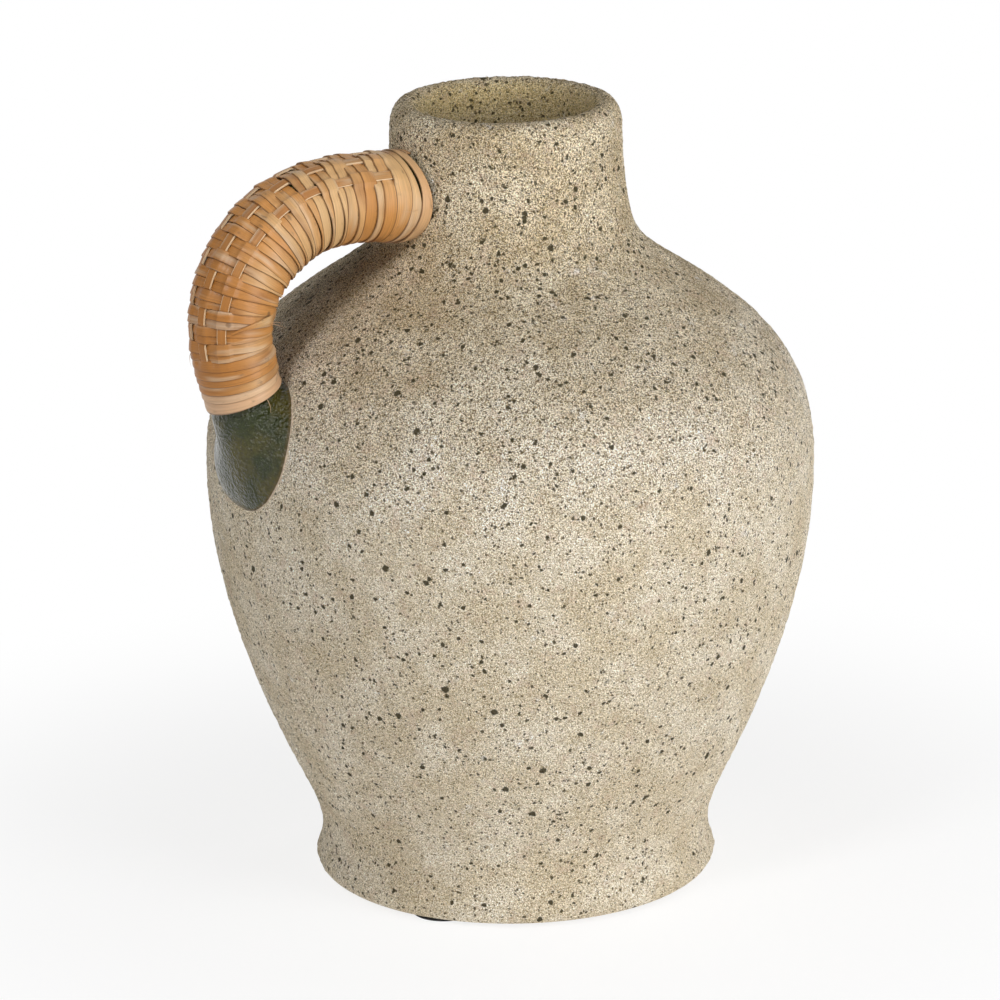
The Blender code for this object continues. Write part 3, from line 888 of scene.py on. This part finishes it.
# %% Bend the strips
STEPS_PER_TURN = 96
LAP = 1.50
LAP_STARTS, TILT_ALWAYS = 0.0004, 0.45
TUCK, TUCK_FROM, TUCK_TO = 0.38, 0.010, 0.100
TUCK_RISE, TUCK_FALL = 0.012, 0.006
WANDER_WIDTH, WANDER_SIDE, WANDER_OUT = 0.16, 0.00028, 0.00012
METRES_PER_TURN = 0.094
UPPER_TURNS, LOWER_TURNS = (0.55, 22.0), (22.02, 42.02)
HALF_STRIP = STRIP_WIDTH / 2.0
# Where the strip is narrower: the turn, how many turns that lasts, and the share that is lost.
NARROW_PLACES = ((1.44, 0.17, 0.42), (2.44, 0.17, 0.42), (40.0, 0.60, 0.20))


def bend_strip(turn, y, z):
    """Wind a point of the strip: its turn, its place across the strip and its height in it."""
    angle = START_ANGLE + turn * 2.0 * math.pi
    middle, pitch = run_of_turn(turn)
    stretch = 1.0 + np.interp(middle, grip_s, grip_curl) * envelope(middle)[0] * np.cos(angle)
    narrow = sum(lost * np.exp(-(((turn - at) / lasts) ** 2)) for at, lasts, lost in NARROW_PLACES)
    wide = np.maximum(STRIP_WIDTH, LAP * pitch) * (1.0 + WANDER_WIDTH * uneven(turn, 5) - narrow)
    spread = 0.5 * wide / stretch
    ends = smooth((middle - TUCK_FROM) / TUCK_RISE) * smooth((TUCK_TO - middle) / TUCK_FALL)
    tucked = TUCK * ends * pitch * smooth(0.5 - np.cos(angle)) * np.sin(math.pi * turn)
    shift = WANDER_SIDE * uneven(turn, 1) + tucked
    low = np.clip(middle + shift - spread, 0.0, GRIP_LENGTH)
    high = np.clip(middle + shift + spread, 0.0, GRIP_LENGTH)
    s = low + (high - low) * (y + 1.0) / 2.0
    lap = smooth(np.clip(2.0 * spread - pitch, 0.0, None) * stretch / LAP_STARTS)
    tilt = STRIP_THICK * (TILT_ALWAYS + (1.0 - TILT_ALWAYS) * lap) * (s - low) / pitch
    lift = strip_height(np.floor(turn), angle, s)
    out = seat(s) + lift + tilt + WANDER_OUT * uneven(turn, 9, 2.1) + z * STRIP_THICK
    return grip_point(on_saddle(s, angle), angle, out)


def wound_strip(name, first, last):
    mesh = straight_bar(name, strip_ring, last - first, int((last - first) * STEPS_PER_TURN))
    bend_mesh(mesh, lambda x, y, z: bend_strip(x + first, y, z), (METRES_PER_TURN, HALF_STRIP), first)
    return mesh


upper_mesh = wound_strip("winding_upper", *UPPER_TURNS)
lower_mesh = wound_strip("winding_lower", *LOWER_TURNS)
print("strip vertices:", len(upper_mesh.vertices), "and", len(lower_mesh.vertices))

# %% [markdown]
# ## Stakes
#
# A stake is the same cane laid lengthwise. It lies on the clay where the strip goes over it, and comes
# up on top of the strip where the strip goes under it, so it waves in and out along the grip. Its
# height is the mean of the rule at seven places close together, which rounds the corners of the wave.

# %% Bend the stakes
STAKE_STEPS = 420
STAKE_START = 0.0095
STAKE_RISE = 0.00075
ROUNDED_OVER = 0.22
STAKE_WANDER, WANDER_WAVES = 0.0002, 160.0
# A little over half the width, so that the pale edge shows.
STAKE_MAP = 0.00165
stake_ring = [(-1.0, 0.02), (-1.0, 0.75), (-0.85, 0.92), (0.0, 1.0), (0.85, 0.92), (1.0, 0.75), (1.0, 0.02)]


def bend_stake(number):
    middle = STAKE_ANGLES[number]
    fraction = (middle - START_ANGLE) / (2.0 * math.pi) % 1.0

    def bend(x, y, z):
        s = x + STAKE_START
        here = np.interp(s, fine_runs, fine_turns) + 0.5 - fraction
        rise = np.zeros_like(s)
        for offset in np.linspace(-ROUNDED_OVER, ROUNDED_OVER, 7):
            rise += passes_under(np.floor(here + offset), number) / 7.0
        out = seat(s) + STAKE_RISE * smooth(rise) + z * STAKE_THICK
        wander = STAKE_WANDER * np.sin(s * WANDER_WAVES + number)
        lean = (y * STAKE_WIDTH / 2.0 + wander) / envelope(s)[0]
        return grip_point(s, middle + lean, out)

    return bend


stake_meshes = []
for number in range(4):
    mesh = straight_bar("stake_%d" % (number + 1), stake_ring, STAKES_TO - STAKE_START, STAKE_STEPS)
    bend_mesh(mesh, bend_stake(number), (1.0, STAKE_MAP))
    stake_meshes.append(mesh)
print("stakes:", len(stake_meshes))

# %% [markdown]
# ## Rattan finish
#
# Peeled cane is honey to orange-tan, glossy on its skin, with fine lines along its length and now and
# then a brown stain. Because the UV map still knows the run along the strip, one slow noise on that
# number gives each turn its own tone, and a noise stretched eightyfold gives the fibres. The first and
# last turns are paler, the side that stands out most is painted darker and more orange as painted shade,
# pale patches are painted sheen, one turn is weathered, and two knots sit on the side that shows.

# %% Rattan finish
KNOTS = ((-0.1142, -0.0112, 0.2133), (-0.1000, -0.0120, 0.2150))
WEATHERED_AT, WEATHERED_OVER = 2.954, 0.021
OUTER_SHADE_ORANGE = (0.380, 0.145, 0.022)
PAINTED_SHEEN_PALE = (0.660, 0.490, 0.320)
PALE_ENDS = (0.740, 0.515, 0.335)
WEATHERED = (0.500, 0.380, 0.265)
STAIN = (0.150, 0.085, 0.040)
KNOT_BROWN = (0.170, 0.090, 0.040)


def rattan_finish(name, light, orange, brown, edge_colour, edge_strength, pale_ends):
    finish = Finish(name)
    uv = finish.node("ShaderNodeUVMap", {"uv_map": "along"})
    along, across, _ = finish.parts(uv)

    def streaks(per_metre, offset, *detail):
        """Noise stretched by how many streaks there are in a metre, along the cane and across it."""
        return finish.cloud(finish.stretched(uv, (*per_metre, 0.0), (*offset, 0.0)), 1.0, *detail)

    tone = streaks((14.0, 0.0), (3.1, 0.0), 1.0)
    second = streaks((36.0, 90.0), (9.7, 0.0))
    fibres = streaks((55.0, 4600.0), (0.0, 0.0), 3.0, 0.65)
    broad = streaks((25.0, 1300.0), (1.7, 0.3))
    stains = streaks((150.0, 420.0), (5.0, 2.0), 3.0, 0.6)
    warm = along.step(1.1, 1.9) * (1.0 - along.step(3.40, 3.75))
    colour = finish.colours((tone + 0.06 * warm).step(0.40, 0.60), light, orange)
    # The outer side of the loop is painted darker and more orange, as painted shade.
    painted_outer_shade = (0.0 - finish.parts(finish.place())[0]).step(0.100, 0.117)
    colour = finish.colours(painted_outer_shade * 0.85, colour, OUTER_SHADE_ORANGE)
    colour = finish.colours(second.step(0.52, 0.70) * 0.75, colour, brown)
    # Pale patches along the cane are painted sheen.
    painted_sheen = streaks((34.0, 260.0), (2.2, 7.1))
    colour = finish.colours(painted_sheen.step(0.53, 0.70) * 0.55, colour, PAINTED_SHEEN_PALE)
    ends = 0.45 * (1.0 - along.step(0.20, 0.23)) + along.step(3.72, 3.76)
    colour = finish.colours(ends * pale_ends, colour, PALE_ENDS)
    weathered = 1.0 - ((along - WEATHERED_AT) / WEATHERED_OVER).size().step(0.75, 1.0)
    colour = finish.colours(weathered * (0.10 + 0.85 * broad), colour, WEATHERED)
    colour = finish.tinted(colour, 0.39 + 0.96 * fibres + 0.26 * broad)
    colour = finish.colours(stains.step(0.60, 0.74) * 0.60, colour, STAIN)
    for knot in KNOTS:
        apart = finish.vectors("DISTANCE", finish.place(), knot, "Value")
        ring = apart.step(0.0004, 0.0007) * (1.0 - apart.step(0.0009, 0.0013))
        knot_mask = (1.0 - apart.step(0.0002, 0.0006)).most(ring)
        colour = finish.colours(knot_mask * 0.7, colour, KNOT_BROWN)
    # On the strips the edge colour is painted shade between the turns; on the stakes it is the pale cut
    # edge.
    edge = (across.size() / HALF_STRIP).step(0.86, 0.96) * (0.55 + 0.90 * second.step(0.35, 0.60)).least(1.0)
    colour = finish.colours(edge * edge_strength, colour, edge_colour)
    finish.set(Base_Color=colour, Roughness=0.40 + 0.2 * broad, Specular_IOR_Level=0.30)
    finish.set(Coat_Weight=0.05 + 0.22 * broad, Coat_Roughness=0.24)
    finish.bump(fibres + 0.6 * broad, 0.00010, 0.9)
    return finish


# %% [markdown]
# Strips and stakes are the same cane. The strips' edges are painted dark, as painted shade between the
# turns, and the stakes have pale cut ones, so they stand apart in the weave.

# %% Cane for the strips and the stakes
BROWN_CANE = (0.330, 0.135, 0.038)
# The strips' edge colour is painted shade between the turns.
LIGHT_STRIP, ORANGE_STRIP, STRIP_EDGE_SHADE = (0.670, 0.420, 0.195), (0.560, 0.255, 0.070), (0.085, 0.034, 0.012)
LIGHT_STAKE, ORANGE_STAKE, PALE_EDGE = (0.510, 0.270, 0.100), (0.430, 0.185, 0.050), (0.800, 0.620, 0.400)
SHARP_CANE = 28.0

rattan = rattan_finish("rattan_strip", LIGHT_STRIP, ORANGE_STRIP, BROWN_CANE, STRIP_EDGE_SHADE, 0.62, 0.60)
rattan_light = rattan_finish("rattan_stake", LIGHT_STAKE, ORANGE_STAKE, BROWN_CANE, PALE_EDGE, 0.90, 0.0)
winding_upper = piece_of("winding_upper", upper_mesh, rattan, SHARP_CANE)
winding_lower = piece_of("winding_lower", lower_mesh, rattan, SHARP_CANE)
stakes = [piece_of(mesh.name, mesh, rattan_light, SHARP_CANE) for mesh in stake_meshes]

# %% [markdown]
# ## Loose ends
#
# Handwork leaves traces. The tapered end of one strip lies across its neighbours at the front, and a
# few hairs of cane have come loose. A particle system could grow hairs, but six that are placed one by
# one look more like handwork. Each is a straight bar again, bent along a short path that is given in the
# grip's own numbers: run, angle round it in degrees and distance off the winding.

# %% Bend the loose ends
HAIR_RING = [(math.sin(a), math.cos(a)) for a in np.linspace(0.0, 2.0 * math.pi, 7)[:-1]]
HAIR_PATHS = (
    ((0.0036, -96.0, 0.0001), (0.0066, -97.0, 0.0007), (0.0100, -97.0, 0.0001)),
    ((0.0842, -132.0, 0.0000), (0.0850, -138.0, 0.0022), (0.0864, -141.0, 0.0046)),
    ((0.0836, -132.0, 0.0000), (0.0834, -137.0, 0.0018), (0.0842, -141.0, 0.0036)),
    ((0.0930, 14.0, 0.0000), (0.0944, 11.0, 0.0012), (0.0966, 8.0, 0.0015)),
    ((0.1113, -99.0, 0.0002), (0.1136, -97.0, 0.0008), (0.1160, -93.0, 0.0006)),
    ((0.0700, -128.0, 0.0000), (0.0706, -131.0, 0.0010), (0.0718, -133.0, 0.0013)),
)
HAIR_RADIUS, HAIR_TAPER = 0.00011, 0.75
NEARBY, TILTED_UP = 0.02, (0.3, 0.9, 0.2)
TAIL_RUN, TAIL_SLANT = 0.0774, 0.0086
TAIL_FROM, TAIL_ROUND = -150.0, 88.0
TAIL_WIDTH, TAIL_TAPER = 0.0044, 0.84
TAIL_SINK, TAIL_THICK = 0.0002, 0.00045
# Map scales, and starts on a part of the cane's map that nothing else uses.
HAIR_MAP, HAIR_MAP_START = (0.01, 0.0001), 400.0
TAIL_MAP, TAIL_MAP_START = (0.05, 0.0013), 52.0


def bend_hair(path):
    marks = np.array(path)
    curves = [batten((0.0, 0.5, 1.0), marks[:, k]) for k in range(3)]

    def middle(x):
        run, angle, out = (curve(x)[0] for curve in curves)
        return grip_point(run, np.radians(angle), envelope(run)[0] + out)

    def bend(x, y, z):
        heading = middle(x + NEARBY) - middle(x - NEARBY)
        heading /= np.linalg.norm(heading, axis=1)[:, None]
        side = np.cross(heading, TILTED_UP)
        side /= np.linalg.norm(side, axis=1)[:, None]
        radius = (HAIR_RADIUS * (1.0 - HAIR_TAPER * x))[:, None]
        return middle(x) + radius * (side * y[:, None] + np.cross(heading, side) * z[:, None])

    return bend


def bend_tail(x, y, z):
    run = TAIL_RUN + TAIL_SLANT * x
    angle = np.radians(TAIL_FROM + TAIL_ROUND * x)
    width = TAIL_WIDTH * (1.0 - TAIL_TAPER * smooth(x))
    return grip_point(run + 0.5 * width * (y + 1.0), angle, envelope(run)[0] - TAIL_SINK + TAIL_THICK * z)


hair_bm = bmesh.new()
for number, path in enumerate(HAIR_PATHS):
    mesh = straight_bar("hair", HAIR_RING, 1.0, 14)
    bend_mesh(mesh, bend_hair(path), HAIR_MAP, HAIR_MAP_START + number)
    hair_bm.from_mesh(mesh)
    bpy.data.meshes.remove(mesh)
tail_mesh = straight_bar("winding_tail", strip_ring, 1.0, 40)
bend_mesh(tail_mesh, bend_tail, TAIL_MAP, TAIL_MAP_START)
loose_hairs = new_piece("loose_hairs", hair_bm, rattan)
winding_tail = piece_of("winding_tail", tail_mesh, rattan, SHARP_CANE)

# %% [markdown]
# ## Pads
#
# Small black pads keep the rough foot off the table. One shows at the lower left of the photograph, and
# three are the fewest that don't rock. Each is a disc with a soft edge, so a cone with equal ends is
# bevelled all round.

# %% Pads
PAD_RADIUS = 0.011
PAD_BEVEL = 0.00022
BLACK_RUBBER = (0.012, 0.012, 0.013)

rubber = Finish("black_pad")
rubber_place = rubber.place()
rubber_tone = 0.6 + 0.8 * rubber.cloud(rubber_place, 600.0, 3.0)
rubber.set(Base_Color=rubber.tinted(BLACK_RUBBER, rubber_tone), Roughness=0.8)
rubber.bump(rubber.cloud(rubber_place, 1500.0, 2.0), 0.0002, 0.6)


def foot_pad(number):
    low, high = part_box("foot_pad_%d" % number)
    middle = (Vector(low) + Vector(high)) / 2.0
    thickness = high[2] - low[2]
    bm = bmesh.new()
    bmesh.ops.create_cone(
        bm, cap_ends=True, segments=64, radius1=PAD_RADIUS, radius2=PAD_RADIUS, depth=thickness,
    )
    rims = [edge for edge in bm.edges if abs(edge.verts[0].co.z - edge.verts[1].co.z) < 1e-6]
    bmesh.ops.bevel(
        bm, geom=rims, offset=PAD_BEVEL, segments=3, profile=0.5, affect="EDGES", material=-1,
    )
    bmesh.ops.translate(bm, verts=bm.verts, vec=middle)
    return new_piece("pad_%d" % number, bm, rubber, 50.0)


pads = [foot_pad(number) for number in (1, 2, 3)]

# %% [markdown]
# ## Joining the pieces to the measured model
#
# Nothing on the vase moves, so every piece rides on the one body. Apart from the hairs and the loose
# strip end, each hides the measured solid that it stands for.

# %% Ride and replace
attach(vase_body, "root")
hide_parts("vase_body")
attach(clay_loop, "root")
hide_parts("handle_core")
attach(winding_upper, "root")
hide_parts("rattan_binding_upper")
for loose in (loose_hairs, winding_tail):
    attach(loose, "root")
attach(winding_lower, "root")
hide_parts("rattan_binding_lower")
for number, stake in enumerate(stakes, 1):
    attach(stake, "root")
    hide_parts("rattan_stake_%d" % number)
for number, pad in enumerate(pads, 1):
    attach(pad, "root")
    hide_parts("foot_pad_%d" % number)
print("stakes and pads that ride:", len(stakes), "and", len(pads))

# %% [markdown]
# ## Studio
#
# In the photograph the vase stands on white, and much of the light comes up from below. So the floor is
# pale and glows a little. A stronger glow would wash out the shading, so the Light Path node makes the
# floor white for the camera and in reflections only: fully so away from the vase, and partly near it,
# where it keeps the vase's shadow. It lies a tenth of a millimetre under the pads, so that their
# undersides and the floor never share one plane.

# %% Floor
FLOOR_DROP = 0.0001
FLOOR_SIZE = 3.0

floor_finish = Finish("pale_floor")
floor_finish.set(Base_Color=(0.86, 0.86, 0.86), Roughness=0.9)
floor_finish.set(Emission_Color=(1.0, 1.0, 1.0), Emission_Strength=0.27)
away = floor_finish.vectors("LENGTH", floor_finish.place(), output="Value").step(0.10, 0.32)
white = floor_finish.node("ShaderNodeEmission", None, {0: (1.0, 1.0, 1.0), 1: 1.0})
share = floor_finish.seen() * (0.72 + 0.28 * away)
lit = Wire(floor_finish, floor_finish.shader.outputs[0])
mixed = floor_finish.node("ShaderNodeMixShader", None, {0: share, 1: lit, 2: white})
floor_finish.feed(floor_finish.tree.nodes["Material Output"].inputs["Surface"], mixed)

floor_bm = bmesh.new()
bmesh.ops.create_grid(floor_bm, x_segments=2, y_segments=2, size=FLOOR_SIZE)
bmesh.ops.translate(floor_bm, verts=floor_bm.verts, vec=(0.0, 0.0, -FLOOR_DROP))
floor_obj = new_piece("floor", floor_bm, floor_finish)

# %% [markdown]
# The world is plain white to the camera and in reflections, by the same rule, and almost dark as a
# light, because an even light from all round would take away the shading.

# %% World
WORLD_LIGHT = 0.01

world = bpy.data.worlds.new("studio")
bpy.context.scene.world = world
studio = Recipe(world)
background = studio.tree.nodes["Background"]
studio.feed(background.inputs["Color"], (1.0, 1.0, 1.0))
studio.feed(background.inputs["Strength"], WORLD_LIGHT + (1.0 - WORLD_LIGHT) * studio.seen())
print("world ready")

# %% [markdown]
# Five square lamps give the shading. Their places and powers were fitted to the photograph: the small
# key lamp at the upper left casts the handle's shadow on the shoulder, and the large one at the right,
# almost level with the vase, lights the belly. A small lamp has a sharp shadow and a large one a soft
# one.

# %% Lamps
LAMP_DISTANCE = 1.4
LAMP_TARGET = Vector((0.0, 0.0, 0.14))


def soft_lamp(name, azimuth, elevation, size, power):
    """A square lamp aimed at the middle of the vase. Azimuth 0 is in front of it, on -Y."""
    lamp = bpy.data.lights.new(name, "AREA")
    lamp.shape = "SQUARE"
    lamp.size = size
    lamp.energy = power
    obj = bpy.data.objects.new(name, lamp)
    bpy.context.scene.collection.objects.link(obj)
    turn, tilt = math.radians(azimuth), math.radians(elevation)
    away = Vector((math.cos(tilt) * math.sin(turn), -math.cos(tilt) * math.cos(turn), math.sin(tilt)))
    obj.location = LAMP_TARGET + away * LAMP_DISTANCE
    obj.rotation_euler = (-away).to_track_quat("-Z", "Y").to_euler()
    print(name, "watts:", power)


soft_lamp("key_lamp", -61.4, 40.0, 0.30, 6.25)
soft_lamp("right_lamp", 20.6, 8.0, 0.70, 9.5)
soft_lamp("back_lamp", 103.6, 10.0, 0.40, 3.0)
soft_lamp("left_lamp", -84.0, 6.0, 0.10, 1.2)
soft_lamp("front_lamp", 12.0, 42.0, 0.60, 4.4)

view_settings = bpy.context.scene.view_settings
view_settings.view_transform = "Standard"
